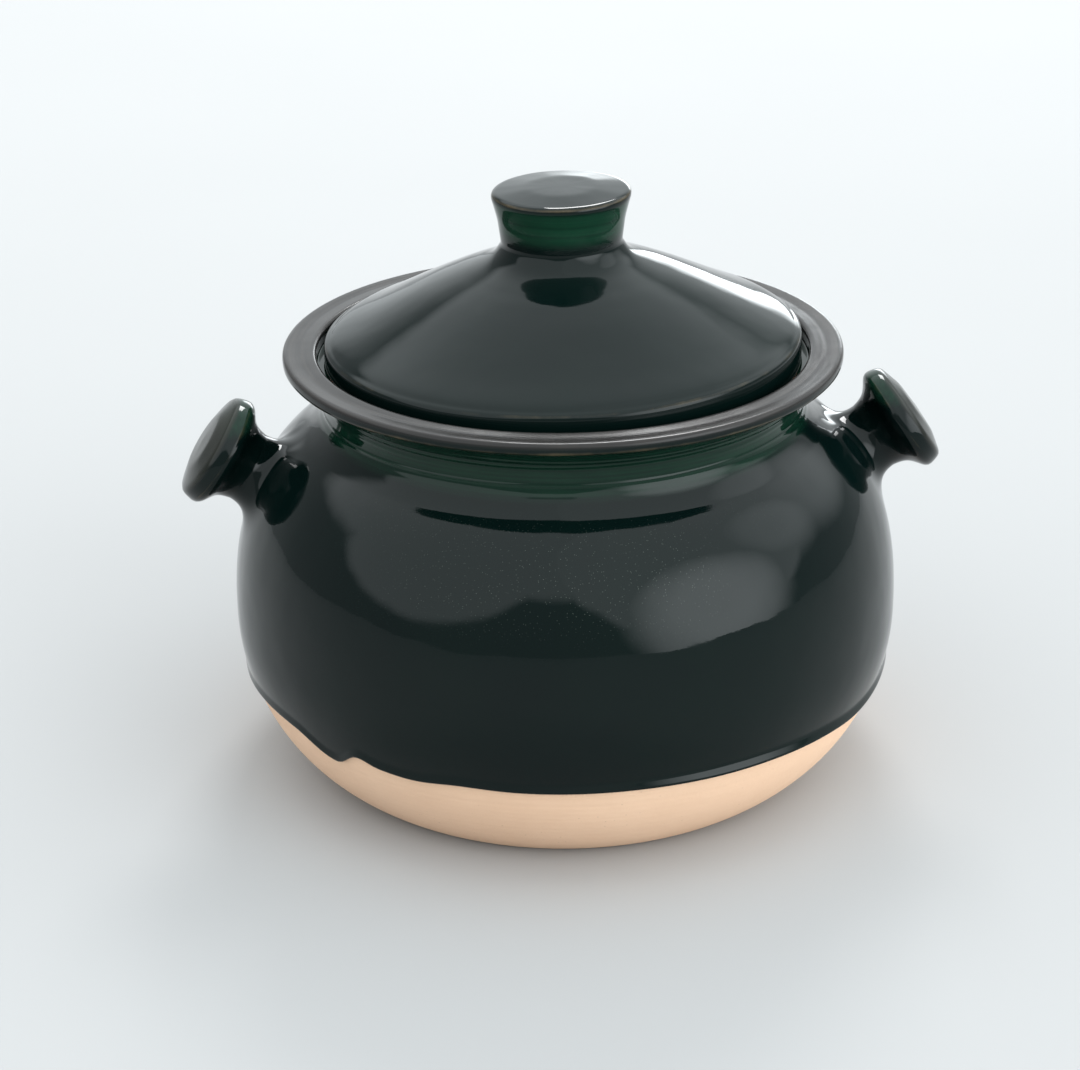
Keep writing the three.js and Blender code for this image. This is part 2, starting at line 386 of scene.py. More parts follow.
def rounded(points, radii, steps=ARC_STEPS):
    """Replaces corners by arcs; a radius of 0 keeps the corner"""
    points = [np.array(p, float) for p in points]
    path = [points[0]]
    for i in range(1, len(points) - 1):
        if not radii[i]:
            path.append(points[i])
            continue
        back, ahead = points[i - 1] - points[i], points[i + 1] - points[i]
        back_length, ahead_length = np.linalg.norm(back), np.linalg.norm(ahead)
        back, ahead = back / back_length, ahead / ahead_length
        half = math.acos(float(np.clip(back @ ahead, -1, 1))) / 2
        cut = min(radii[i] / math.tan(half), CORNER_SHARE * back_length, CORNER_SHARE * ahead_length)
        path.extend(bend(points[i] + back * cut, points[i], points[i] + ahead * cut, steps))
    path.append(points[-1])
    return np.array(path)


def unit(vectors):
    return vectors / np.maximum(np.linalg.norm(vectors, axis=-1, keepdims=True), NO_LENGTH)


def path_normals(path):
    steps = unit(np.diff(path, axis=0))
    before, after = np.vstack([steps[:1], steps]), np.vstack([steps, steps[-1:]])
    along = unit(before + after)
    return np.stack([along[:, 1], -along[:, 0]], axis=1)


def offset_path(path, distance):
    return path + distance * path_normals(path)


def without_repeats(path):
    path = np.array(path, float)
    gaps = np.linalg.norm(np.diff(path, axis=0), axis=1)
    return path[np.concatenate([[True], gaps > SAME_POINT])]


class Outline:
    """A turned outline that gives the point and the air side at any distance along it"""

    def __init__(self, path):
        self.path = without_repeats(path)
        lengths = np.linalg.norm(np.diff(self.path, axis=0), axis=1)
        self.marks = np.concatenate([[0], np.cumsum(lengths)])
        self.length = self.marks[-1]
        self.normals = path_normals(self.path)

    def spot(self, s):
        return [np.interp(s, self.marks, self.path[:, k]) for k in (0, 1)]

    def air_side(self, s):
        sides = np.stack([np.interp(s, self.marks, self.normals[:, k]) for k in (0, 1)], axis=-1)
        return np.moveaxis(unit(sides), -1, 0)

    def at_height(self, height):
        """Distance along the outline where it first rises past a height"""
        first = int(np.argmax(self.path[:, 1] > height))
        near = slice(first - 1, first + 1)
        return np.interp(height, self.path[near, 1], self.marks[near])


# The pot's outside, from the base to the ledge that carries the lid
def lower_belly():
    across = BELLY_RADIUS - LOWER_CURVE_CENTRE
    base_angle = math.acos((BASE_RADIUS - LOWER_CURVE_CENTRE) / across)
    down = BELLY_HEIGHT / math.sin(base_angle)
    angles = np.linspace(math.asin(BELLY_HEIGHT / down), 0, LOWER_CURVE_STEPS + 1)
    radius = LOWER_CURVE_CENTRE + across * np.cos(angles)
    height = BELLY_HEIGHT - down * np.sin(angles)
    return np.stack([radius, height], axis=1)


def upper_belly():
    centre = SHOULDER_RADIUS - SHOULDER_TUCK
    across = BELLY_RADIUS - centre
    end_angle = math.acos((SHOULDER_TUCK / across) ** (UPPER_CURVE_POWER / 2))
    share = 2 / UPPER_CURVE_POWER
    up = SHOULDER_RISE / math.sin(end_angle) ** share
    angles = end_angle * (np.arange(1, CURVE_STEPS + 1) / CURVE_STEPS)
    radius = centre + across * np.cos(angles) ** share
    height = BELLY_HEIGHT + up * np.sin(angles) ** share
    return np.stack([radius, height], axis=1)


def neck():
    hollow = shared_points(NECK_SHARES, [NECK_RADIUS, SHOULDER_HEIGHT], [RIM_RADIUS, LIP_BOTTOM])
    start = [[SHOULDER_RADIUS, SHOULDER_HEIGHT]]
    return spline(np.vstack([start, hollow]), CURVE_STEPS)[1:]


def rim_and_recess():
    middle = (RIM_RADIUS + RECESS_RADIUS) / 2
    corners = [
        neck()[-1],
        [RIM_RADIUS, LIP_BOTTOM],
        [RIM_RADIUS, RIM_HEIGHT],
        [middle, RIM_HEIGHT - RIM_DISH],
        [RECESS_RADIUS, RIM_HEIGHT],
        [RECESS_RADIUS, LEDGE_HEIGHT],
        [LID_RADIUS + LEDGE_GLAZE_GAP, LEDGE_HEIGHT],
    ]
    return rounded(corners, [0, LIP_ROUND, LIP_ROUND, RIM_DISH_ROUND, LIP_ROUND, RECESS_FILLET, 0])


def outer_side():
    return np.vstack([lower_belly(), upper_belly(), neck()])


def softened(path, passes):
    """Evens out small corners and keeps the two ends"""
    path = np.array(path, float)
    for _ in range(passes):
        path[1:-1] = (path[:-2] + 2 * path[1:-1] + path[2:]) / 4
    return path


def even(path, step):
    """The same outline with points at an even distance"""
    outline = Outline(path)
    count = max(2, int(round(outline.length / step)))
    return np.stack(outline.spot(np.linspace(0, outline.length, count + 1)), axis=1)


SIDE = softened(even(outer_side(), OUTLINE_STEP), SIDE_PASSES)
OUTSIDE = Outline(np.vstack([SIDE, rim_and_recess()[1:]]))


# Unevenness shared by the clay and the glaze on it
def ripple(theta, height):
    total = sum(
        share * np.sin(lobes * theta + TURN * height / wave + phase)
        for lobes, wave, phase, share in RIPPLES
    )
    return RIPPLE_DEPTH * (total - 1)


def smooth_step(x):
    x = np.clip(x, 0, 1)
    return x * x * (3 - 2 * x)


def rolled(x):
    """Rises from 0 to 1 as a quarter of a circle"""
    return np.sqrt(np.maximum(0, 1 - (1 - np.clip(x, 0, 1)) ** 2))


def glaze_line(theta):
    """Height of the lower edge of the glaze, smooth all the way round"""
    knots = np.array(GLAZE_LINE, float)
    angles = np.radians(knots[:, 0])
    heights = knots[:, 1]
    theta = np.mod(theta - angles[0], TURN) + angles[0]
    angles = np.append(angles, angles[0] + TURN)
    heights = np.append(heights, heights[0])
    i = np.clip(np.searchsorted(angles, theta, side="right") - 1, 0, len(angles) - 2)
    w = (theta - angles[i]) / (angles[i + 1] - angles[i])
    count = len(heights) - 1
    slopes = (heights[(np.arange(count) + 1) % count] - heights[np.arange(count) - 1]) / 2
    slopes = np.append(slopes, slopes[0])
    rise = heights[i + 1] - heights[i]
    curve = heights[i] + slopes[i] * w + (3 * rise - 2 * slopes[i] - slopes[i + 1]) * w ** 2
    return curve + (slopes[i] + slopes[i + 1] - 2 * rise) * w ** 3


def line_mark(theta):
    """Distance along the outline to the lower edge of the glaze"""
    return np.interp(glaze_line(theta), SIDE[:, 1], OUTSIDE.marks[:len(SIDE)])


def neck_rings(theta, s):
    """Height of the finger rings on the neck, a little stronger in some places than in others"""
    height = OUTSIDE.spot(s)[1]
    on_neck = s < OUTSIDE.marks[len(SIDE) - 1] - LIP_THICKNESS
    total = 0
    for place, proud, half_width in RINGS:
        slow, quick = np.sin(2 * theta + place), np.sin(5 * theta + 3 * place)
        wander = RING_WANDER * slow + RING_WANDER / 2 * quick
        strength = 1 - RING_FADE + RING_FADE * np.sin(3 * theta + 2 * place)
        total = total + proud * strength * np.exp(-((height - place - wander) / half_width) ** 2)
    return total * on_neck


def near_turn(theta, turn):
    """The same angles, given within half a turn of another"""
    return np.mod(theta - turn + math.pi, TURN) - math.pi + turn


def outside_depth(theta, s):
    """Thickness of the glaze on the outside, with a fat rolled lower edge"""
    above = s - line_mark(theta)
    turn = math.radians(FAT_TURN)
    from_fattest = np.degrees(near_turn(theta, turn) - turn)
    swell = BEAD_SWELL + BEAD_FAT * np.exp(-(from_fattest / FAT_REACH) ** 2)
    climb = np.clip((BEAD_LENGTH - above) / (BEAD_LENGTH - BEAD_CREST), 0, 1)
    bead = swell * np.where(climb < BEAD_EASE, climb ** 2 / (2 * BEAD_EASE), climb - BEAD_EASE / 2)
    return (GLAZE + bead) * rolled(above / EDGE_ROLL) * rolled((OUTSIDE.length - s) / EDGE_ROLL)


def on_turned(outline, theta, s, depth):
    """Points on a turned outline at a depth of glaze, with the ripple of the clay"""
    radius, height = outline.spot(s)
    side_out, side_up = outline.air_side(s)
    uneven = ripple(theta, height) * smooth_step(height / CALM_HEIGHT)
    lift = depth + uneven * smooth_step(radius / CALM_RADIUS)
    radius = radius + lift * side_out
    height = height + lift * side_up
    return np.stack([radius * np.cos(theta), radius * np.sin(theta), height], axis=-1)


def outside_skin(theta, s):
    return on_turned(OUTSIDE, theta, s, outside_depth(theta, s) + neck_rings(theta, s))


# Meshes
class Builder:
    """Gathers points with their edge wear and faces, and makes one mesh of them"""

    def __init__(self):
        self.points = []
        self.worn = []
        self.faces = []

    def add(self, points, worn=0.0):
        start = len(self.points)
        points = np.asarray(points).reshape(-1, 3)
        self.points.extend(points.tolist())
        worn = np.asarray(worn, float).reshape(-1)
        self.worn.extend(np.broadcast_to(worn, (len(points),)).tolist())
        return np.arange(start, start + len(points))

    def strip(self, low, high):
        """Faces between two closed rows, seen from outside with the rows going up"""
        for j in range(len(low)):
            k = (j + 1) % len(low)
            self.faces.append((low[j], low[k], high[k], high[j]))

    def grow(self, last, points, worn=0.0):
        """Adds a row and the faces from the last row up to it"""
        row = self.add(points, worn)
        self.strip(last, row)
        return row

    def fan(self, ring, point, worn=0.0):
        """Closes a piece at its top"""
        top = self.add([point], worn)[0]
        for j in range(len(ring)):
            self.faces.append((ring[j], ring[(j + 1) % len(ring)], top))

    def floor_fan(self, ring, point):
        """Closes a piece at its bottom"""
        low = self.add([point])[0]
        for j in range(len(ring)):
            self.faces.append((ring[(j + 1) % len(ring)], ring[j], low))

    def make(self, name, body, slot, nodes, material):
        mesh = bpy.data.meshes.new(name)
        mesh.from_pydata((np.array(self.points) * MM).tolist(), [], self.faces)
        mesh.polygons.foreach_set("use_smooth", [True] * len(mesh.polygons))
        worn = mesh.attributes.new("worn", "FLOAT", "POINT")
        worn.data.foreach_set("value", self.worn)
        mesh.materials.append(material)
        piece = bpy.data.objects.new(name, mesh)
        bpy.context.collection.objects.link(piece)
        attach(piece, body)
        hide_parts(*nodes)
        return piece


def thicken(piece, depth):
    """Gives an open skin its own thickness, inwards, as a closed solid"""
    solid = piece.modifiers.new("thickness", "SOLIDIFY")
    solid.thickness = depth * MM
    solid.offset = -1
    solid.use_rim = True
    solid.use_even_offset = False
    bpy.context.view_layer.objects.active = piece
    with bpy.context.temp_override(object=piece, active_object=piece, selected_objects=[piece]):
        bpy.ops.object.modifier_apply(modifier=solid.name)


# Lugs
def lug_axis(turn):
    """Middle of the lug's foot, the two directions across it and the direction it points in"""
    tilt = math.radians(LUG_TILT)
    foot_radius = OUTSIDE.spot(OUTSIDE.at_height(LUG_HEIGHT))[0]
    around = np.array([math.cos(turn), math.sin(turn), 0.0])
    side = np.array([-math.sin(turn), math.cos(turn), 0.0])
    upright = np.array([0.0, 0.0, 1.0])
    axis = math.cos(tilt) * around + math.sin(tilt) * upright
    up = -math.sin(tilt) * around + math.cos(tilt) * upright
    foot = foot_radius * around + LUG_HEIGHT * upright
    return foot, side, up, axis


def ring_round(angles, side, up):
    """Steps of length 1 away from a lug's axis"""
    return np.cos(angles)[:, None] * side + np.sin(angles)[:, None] * up


def drop_to_side(points, axis):
    """Moves points along the lug's axis onto the pot and returns their angle and distance"""
    reach = np.full(len(points), -DROP_REACH)
    span = 2 * DROP_REACH
    for _ in range(DROP_HALVINGS):
        span /= 2
        trial = points + (reach + span)[:, None] * axis
        wall = np.interp(trial[:, 2], SIDE[:, 1], SIDE[:, 0])
        inside = np.hypot(trial[:, 0], trial[:, 1]) < wall
        reach = np.where(inside, reach + span, reach)
    spots = points + reach[:, None] * axis
    marks = np.interp(spots[:, 2], SIDE[:, 1], OUTSIDE.marks[:len(SIDE)])
    return np.arctan2(spots[:, 1], spots[:, 0]), marks


def disc_guide(shares):
    """A point between the waist and the disc of a lug"""
    swell, hollow = LUG_DISC_RADIUS - LUG_WAIST_RADIUS, LUG_WAIST_DEPTH - LUG_DISC_DEPTH
    return [LUG_WAIST_RADIUS + shares[0] * swell, -LUG_DISC_DEPTH - shares[1] * hollow]


def lug_head():
    """Radius and distance along the axis, from the waist over the disc to the middle of the face"""
    guides = [
        [LUG_WAIST_RADIUS, -LUG_WAIST_DEPTH - LUG_WAIST_LENGTH],
        [LUG_WAIST_RADIUS, -LUG_WAIST_DEPTH],
        disc_guide(DISC_BACK_SHARES),
        disc_guide(DISC_RIM_SHARES),
        [LUG_DISC_RADIUS, -LUG_DISC_DEPTH],
    ]
    flare = spline(guides, LUG_CURVE_STEPS * (len(guides) - 1))[LUG_CURVE_STEPS:]
    shoulder = [LUG_FACE_RADIUS * FACE_SHARES[0], LUG_DOME * FACE_SHARES[1]]
    face = [[LUG_FACE_RADIUS, 0], shoulder, [0, LUG_DOME]]
    fine = softened(even(np.vstack([flare, face]), EDGE_STEP), LUG_PASSES)
    return even(fine, LUG_STEP)


def clay_lug(name, node, turn, material):
    """The solid clay of a lug, just inside its glaze"""
    foot, side, up, axis = lug_axis(turn)
    ring = ring_round(np.arange(LUG_COLUMNS) * TURN / LUG_COLUMNS, side, up)
    head = offset_path(lug_head(), -GLAZE / 2)
    lug = Builder()
    last = lug.add(foot + head[0, 0] * ring + (LUG_LENGTH - LUG_ROOT) * axis)
    lug.floor_fan(last, foot + (LUG_LENGTH - LUG_ROOT) * axis)
    for radius, depth in head[:-1]:
        last = lug.grow(last, foot + radius * ring + (LUG_LENGTH + depth) * axis)
    lug.fan(last, foot + (LUG_LENGTH + head[-1, 1]) * axis)
    lug.make(name, "pot", "clay", [node], material)


def flare_rows(start, inward, waist, axis):
    """Rows that curve from the pot's side up to the waist of a lug"""
    reach = np.linalg.norm(waist - start, axis=1)[:, None]
    first_pull = start + FOOT_PULL_SHARE * reach * inward
    second_pull = waist - WAIST_PULL_SHARE * reach * axis
    rows = []
    for w in np.linspace(0, 1, LUG_FLARE_STEPS + 1)[1:]:
        curve = (1 - w) ** 3 * start + 3 * w * (1 - w) ** 2 * first_pull
        rows.append(curve + 3 * w ** 2 * (1 - w) * second_pull + w ** 3 * waist)
    return rows


def add_lug(skin, loop, loop_theta, loop_mark, turn):
    """Grows a lug from the ring of grid points round it"""
    foot, side, up, axis = lug_axis(turn)
    offsets = outside_skin(loop_theta, loop_mark) - foot
    ring = ring_round(np.arctan2(offsets @ up, offsets @ side), side, up)
    theta, mark = drop_to_side(foot + LUG_SPREAD * ring, axis)
    theta = near_turn(theta, turn)
    last = loop
    for share in LUG_SKIRT_SHARES:
        mixed_theta = loop_theta + share * (theta - loop_theta)
        mixed_mark = loop_mark + share * (mark - loop_mark)
        start = outside_skin(mixed_theta, mixed_mark)
        last = skin.grow(last, start)
    inner_theta, inner_mark = drop_to_side(foot + (LUG_SPREAD - LUG_SPREAD_EDGE) * ring, axis)
    inward = unit(outside_skin(inner_theta, inner_mark) - start)
    head = offset_path(lug_head(), GLAZE)
    waist = foot + head[0, 0] * ring + (LUG_LENGTH - LUG_WAIST_DEPTH) * axis
    for row in flare_rows(start, inward, waist, axis):
        last = skin.grow(last, row)
    for radius, depth in head[1:-1]:
        from_edge = (radius - LUG_DISC_RADIUS - GLAZE) / LUG_WEAR_WIDTH
        row = foot + radius * ring + (LUG_LENGTH + depth) * axis
        last = skin.grow(last, row, LUG_WEAR * math.exp(-from_edge ** 2))
    skin.fan(last, foot + (LUG_LENGTH + head[-1, 1]) * axis)


# Glaze on the outside of the pot and its lugs
def row_marks():
    """Distances of the rows of the outside skin: close together at the edge and round the rim"""
    first = float(np.mean(line_mark(np.linspace(0, TURN, LINE_SAMPLES))))
    near = np.array(EDGE_ROWS)
    neck_start = OUTSIDE.at_height(SHOULDER_HEIGHT)
    count = int((neck_start - first - near[-1]) / ROW_STEP)
    body = np.linspace(first + near[-1], neck_start, count + 1)[1:]
    neck_count = int((OUTSIDE.length - neck_start) / NECK_ROW_STEP)
    top = np.linspace(neck_start, OUTSIDE.length, neck_count + 1)[1:]
    return np.concatenate([first + near, body, top])


def rim_wear(marks):
    """Where the glaze is thin over the edges of the rim"""
    radius, height = OUTSIDE.spot(marks)
    edges = [(RIM_RADIUS, RIM_HEIGHT), (RECESS_RADIUS, RIM_HEIGHT), (RIM_RADIUS, LIP_BOTTOM)]
    near = [np.exp(-(np.hypot(radius - r, height - z) / RIM_WEAR_WIDTH) ** 2) for r, z in edges]
    return RIM_WEAR * np.max(near, axis=0)


def add_grid(skin, rows, low_row, high_row, half):
    """Faces between the rows, with a hole where each lug grows"""
    for k in range(len(rows) - 1):
        for j in range(POT_COLUMNS):
            in_hole = low_row <= k < high_row and any(
                (j - middle + half) % POT_COLUMNS < 2 * half for middle, _ in LUG_MIDDLES
            )
            if not in_hole:
                i = (j + 1) % POT_COLUMNS
                skin.faces.append((rows[k][j], rows[k][i], rows[k + 1][i], rows[k + 1][j]))


def hole_edge(low_row, high_row, half):
    """Rows and columns of the grid points round a hole, in order"""
    corners = [(low_row, -half), (low_row, half), (high_row, half), (high_row, -half)]
    edge = []
    for (k0, j0), (k1, j1) in zip(corners, corners[1:] + corners[:1]):
        steps = max(abs(k1 - k0), abs(j1 - j0))
        for n in range(steps):
            edge.append((k0 + (k1 - k0) * n // steps, j0 + (j1 - j0) * n // steps))
    return edge


def outside_glaze(material):
    skin = Builder()
    thetas = np.arange(POT_COLUMNS) * TURN / POT_COLUMNS
    marks = row_marks()
    shift = line_mark(thetas) - marks[0]
    rows, places = [], []
    for mark, worn in zip(marks, rim_wear(marks)):
        fade = 1 - smooth_step((mark - marks[0]) / LINE_REACH)
        places.append(mark + shift * fade)
        rows.append(skin.add(outside_skin(thetas, places[-1]), worn))
    foot_mark = OUTSIDE.at_height(LUG_HEIGHT)
    low_row = int(np.searchsorted(marks, foot_mark - LUG_BLOCK))
    high_row = int(np.searchsorted(marks, foot_mark + LUG_BLOCK * LUG_BLOCK_TOP_SHARE))
    half = int(round(LUG_BLOCK / (TURN / POT_COLUMNS * OUTSIDE.spot(foot_mark)[0])))
    add_grid(skin, rows, low_row, high_row, half)
    edge = hole_edge(low_row, high_row, half)
    for middle, turn in LUG_MIDDLES:
        loop = np.array([rows[k][(middle + j) % POT_COLUMNS] for k, j in edge])
        loop_theta = np.array([turn + j * TURN / POT_COLUMNS for _, j in edge])
        loop_mark = np.array([places[k][(middle + j) % POT_COLUMNS] for k, j in edge])
        add_lug(skin, loop, loop_theta, loop_mark, turn)
    remove_loose(skin)
    piece = skin.make("dark_glaze_outside", "pot", "glaze", ["outside_glaze"], material)
    thicken(piece, GLAZE_SUNK)


def remove_loose(builder):
    """Leaves out points that no face uses"""
    used = sorted({i for face in builder.faces for i in face})
    where = {old: new for new, old in enumerate(used)}
    builder.points = [builder.points[i] for i in used]
    builder.worn = [builder.worn[i] for i in used]
    builder.faces = [tuple(where[i] for i in face) for face in builder.faces]


# Pieces turned on the wheel
def foot_path():
    """From the middle of the base round the foot and up the side"""
    side = SIDE[SIDE[:, 1] > FOOT_ROUND]
    flat_end = [BASE_RADIUS - FOOT_EDGE, 0]
    flat = even([[0, 0], flat_end], BASE_STEP)
    foot = rounded([flat_end, [BASE_RADIUS, 0], side[0]], [0, FOOT_ROUND, 0])
    return np.vstack([flat[:-1], foot, side[1:]])


def inside_path():
    """The inside wall from the bore down to the middle of the floor"""
    beside_wall = SIDE[SIDE[:, 1] < SHOULDER_HEIGHT + BORE_TOP_SHARE * NECK_LENGTH]
    wall = offset_path(beside_wall, -WALL)[::-1]
    wall = wall[wall[:, 1] > FLOOR + FLOOR_FILLET]
    corner = np.array([wall[-1][0] - FLOOR_FILLET, FLOOR])
    floor_edge = np.array([corner[0] - 2 * FLOOR_FILLET, FLOOR])
    foot = bend(wall[-1], corner, floor_edge, BEND_STEPS)
    return np.vstack([wall, foot[1:], even([floor_edge, [0, FLOOR]], FLOOR_STEP)[1:]])


def leaning(points):
    """Raises the right of the lid above its level seat, as it was thrown a little uneven"""
    rise = points[:, 0] * math.tan(math.radians(LID_LEAN))
    points[:, 2] += rise * smooth_step((points[:, 2] - LID_EDGE_ROUND) / LID_EDGE_HEIGHT)
    return points


def rolled_start(mark, length):
    """Thickness of a glaze coat that is rolled where its outline starts"""
    return GLAZE * rolled(mark / EDGE_ROLL)


def rolled_end(mark, length):
    """Thickness of a glaze coat that is rolled where its outline ends"""
    return GLAZE * rolled((length - mark) / EDGE_ROLL)


def turned_piece(path, columns, depth=None, base=0.0, worn=None):
    """A closed or open turned skin; ends on the axis become single points"""
    builder = Builder()
    outline = Outline(path)
    thetas = np.arange(columns) * TURN / columns
    last = None
    start_point = None
    for mark, (radius, height) in zip(outline.marks, outline.path):
        level = worn(radius, height) if worn else 0.0
        thick = depth(mark, outline.length) if depth else 0.0
        points = on_turned(outline, thetas, np.full(columns, mark), thick)
        if base:
            points = leaning(points)
            points[:, 2] += base
        if radius < ON_AXIS:
            centre = [0, 0, points[:, 2].mean()]
            if last is None:
                start_point = centre
            else:
                builder.fan(last, centre, level)
            continue
        row = builder.add(points, level)
        if last is None and start_point is not None:
            builder.floor_fan(row, start_point)
        if last is not None:
            builder.strip(last, row)
        last = row
    return builder


def clay_pot(material):
    rim = rim_and_recess()[1:]
    ledge_end = [[BORE_RADIUS, LEDGE_HEIGHT], [BORE_RADIUS, LEDGE_HEIGHT - LEDGE_DROP]]
    ledge = rounded([rim[-1], *ledge_end], [0, LEDGE_ROUND, 0], LEDGE_ARC_STEPS)
    outside = even(foot_path(), FOOT_STEP)
    path = np.vstack([outside, rim, ledge[1:-1], even(inside_path(), INSIDE_STEP)])
    pot = turned_piece(path, POT_COLUMNS // 2)
    pot.make("clay_pot", "pot", "clay", ["pot_body"], material)


def inside_glaze(material):
    inside = inside_path()
    edge = even([[BORE_RADIUS, LEDGE_HEIGHT - GLAZE_STOP], inside[0]], EDGE_STEP)
    skin = turned_piece(np.vstack([edge[:-1], inside]), POT_COLUMNS // 2, rolled_start)
    piece = skin.make("dark_glaze_inside", "pot", "glaze", ["inside_glaze"], material)
    thicken(piece, GLAZE_SUNK)


def lid_dome():
    edge = [LID_RADIUS - LID_EDGE_ROUND, LID_EDGE_HEIGHT]
    return spline(shared_points(DOME_SHARES, edge, [KNOB_FOOT_RADIUS, LID_TOP]), CURVE_STEPS)


def lid_side():
    """From the lid's rounded edge over the dome and up the knob to its middle"""
    top = LID_TOP + KNOB_HEIGHT
    dome = lid_dome()
    edge_corners = [[LID_RADIUS, LID_SEAT_ROUND], [LID_RADIUS, LID_EDGE_HEIGHT], dome[2]]
    edge = rounded(edge_corners, [0, LID_EDGE_ROUND, 0])
    waist = (KNOB_FOOT_RADIUS + KNOB_TOP_RADIUS) / 2 - KNOB_WAIST
    knob_corners = [
        dome[-4],
        dome[-1],
        [waist, LID_TOP + KNOB_HEIGHT / 2],
        [KNOB_TOP_RADIUS, top],
        [KNOB_TOP_RADIUS / 2, top + KNOB_CROWN],
        [0, top + KNOB_CROWN],
    ]
    knob_rounds = [0, KNOB_FILLET, KNOB_SIDE_ROUND, KNOB_EDGE, KNOB_SIDE_ROUND, 0]
    knob = rounded(knob_corners, knob_rounds, KNOB_ARC_STEPS)
    whole = np.vstack([edge, dome[3:-4], knob])
    return softened(even(whole, OUTLINE_STEP), LID_PASSES)


def lid_underside():
    top = np.vstack([lid_dome(), [[0, LID_TOP]]])
    inside = offset_path(top, -LID_WALL)[::-1]
    inside[0][0] = 0
    seat_inner = LID_RADIUS - LID_EDGE_ROUND - SEAT_WIDTH
    hollow = inside[inside[:, 0] < seat_inner - LID_EDGE_ROUND]
    return np.vstack([hollow, [[seat_inner, GLAZE_STOP]]])


def lid_wear(radius, height):
    """Where the glaze is thin: round the top of the knob and along the edge of the lid"""
    top_edge = math.hypot(radius - KNOB_TOP_RADIUS, height - LID_TOP - KNOB_HEIGHT)
    low_edge = math.hypot(radius - LID_RADIUS, height - LID_EDGE_HEIGHT)
    on_knob = math.exp(-(top_edge / KNOB_WEAR_WIDTH) ** 2)
    on_lid = LID_WEAR * math.exp(-(low_edge / LID_WEAR_WIDTH) ** 2)
    return max(on_knob, on_lid)


def lid_top_glaze(material):
    skin = turned_piece(lid_side(), LID_COLUMNS, rolled_start, LID_SEAT, lid_wear)
    piece = skin.make("dark_glaze_lid", "lid", "glaze", ["lid_top_glaze"], material)
    thicken(piece, GLAZE_SUNK)


def lid_under_glaze(material):
    path = even(lid_underside(), UNDER_STEP)
    skin = turned_piece(path, LID_COLUMNS // 2, rolled_end, LID_SEAT)
    piece = skin.make("dark_glaze_under_lid", "lid", "glaze", ["lid_under_glaze"], material)
    thicken(piece, GLAZE_SUNK)


def clay_lid(material):
    under = even(lid_underside(), INSIDE_STEP)
    seat_corners = [under[-1], [under[-1][0], 0], [LID_RADIUS, 0], [LID_RADIUS, LID_SEAT_ROUND]]
    seat = rounded(seat_corners, [0, LEDGE_ROUND, LID_SEAT_ROUND, 0], SEAT_ARC_STEPS)
    top = lid_side()
    dome = top[top[:, 1] < LID_TOP - CLAY_DOME_END]
    path = np.vstack([under[:-1], seat[:-1], even(dome, DOME_STEP), [[0, LID_TOP]]])
    lid = turned_piece(path, LID_COLUMNS // 2, base=LID_SEAT)
    lid.make("clay_lid", "lid", "clay", ["lid_body"], material)


def clay_knob(material):
    """The solid clay of the knob, just inside its glaze"""
    top = lid_side()
    side = offset_path(top, -GLAZE / 2)[top[:, 1] > LID_TOP]
    side[-1, 0] = 0
    knob = turned_piece(np.vstack([[[0, LID_TOP]], side]), LID_COLUMNS // 2, base=LID_SEAT)
    knob.make("clay_knob", "lid", "clay", ["lid_knob"], material)


